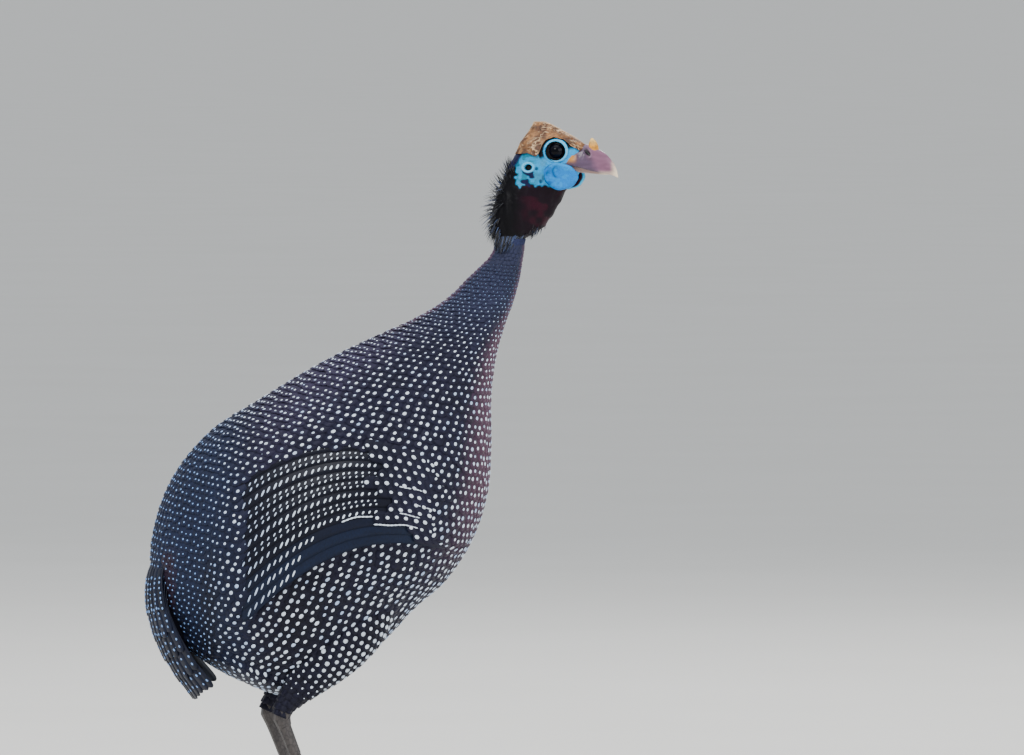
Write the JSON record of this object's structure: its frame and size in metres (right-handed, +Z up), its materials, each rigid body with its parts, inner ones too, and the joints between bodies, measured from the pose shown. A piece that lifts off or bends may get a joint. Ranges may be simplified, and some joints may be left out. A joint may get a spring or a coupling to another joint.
{
  "type": "helmeted guinea fowl",
  "caption": "Standing helmeted guinea fowl with a raised neck, bony casque, bare blue face with wattles, folded wings and a short drooping tail.",
  "frame": {"origin": "on the floor, under the middle of the bird's box", "axes": "+X the way the bird faces, +Y its left side, +Z up"},
  "size_m": [0.3302, 0.1622, 0.496],
  "materials": {
    "plumage": "soft matte feathers, dark slate with pale round spots",
    "neck_feather": "short matte feathers, slate blue with fine pale lines",
    "wing_feather": "firm feathers with a faint sheen, near black with rows of pale ovals",
    "tail_feather": "firm feathers, dark slate with small pale spots",
    "bare_skin": "bare wrinkled skin, dark maroon to black",
    "face_skin": "bare skin, pale sky blue, slightly pebbled",
    "wattle_skin": "thin fleshy skin, bright blue",
    "knob_skin": "fleshy skin, orange yellow",
    "casque_bone": "rough horn over bone, tan brown",
    "bill_horn": "smooth horn, mauve pink fading to ivory at the tip",
    "eye_gloss": "wet dark brown eye",
    "leg_scale": "hard scutes, dark grey brown",
    "claw_horn": "worn dark horn"
  },
  "bodies": {
    "root": {"torso": "plumage", "neck": "neck_feather", "neck_bare": "bare_skin", "head": "face_skin", "casque": "casque_bone", "bill_upper": "bill_horn", "bill_lower": "bill_horn", "nasal_knob": "knob_skin", "tail": "tail_feather", "eye_right": "eye_gloss", "wattle_right": "wattle_skin", "wing_right": "wing_feather", "thigh_right": "plumage", "shank_right": "leg_scale", "toe_middle_right": "leg_scale", "toe_inner_right": "leg_scale", "toe_outer_right": "leg_scale", "toe_hind_right": "leg_scale", "claw_middle_right": "claw_horn", "claw_inner_right": "claw_horn", "claw_outer_right": "claw_horn", "claw_hind_right": "claw_horn", "eye_left": "eye_gloss", "wattle_left": "wattle_skin", "wing_left": "wing_feather", "thigh_left": "plumage", "shank_left": "leg_scale", "toe_middle_left": "leg_scale", "toe_inner_left": "leg_scale", "toe_outer_left": "leg_scale", "toe_hind_left": "leg_scale", "claw_middle_left": "claw_horn", "claw_inner_left": "claw_horn", "claw_outer_left": "claw_horn", "claw_hind_left": "claw_horn"}
  },
  "joints": []
}
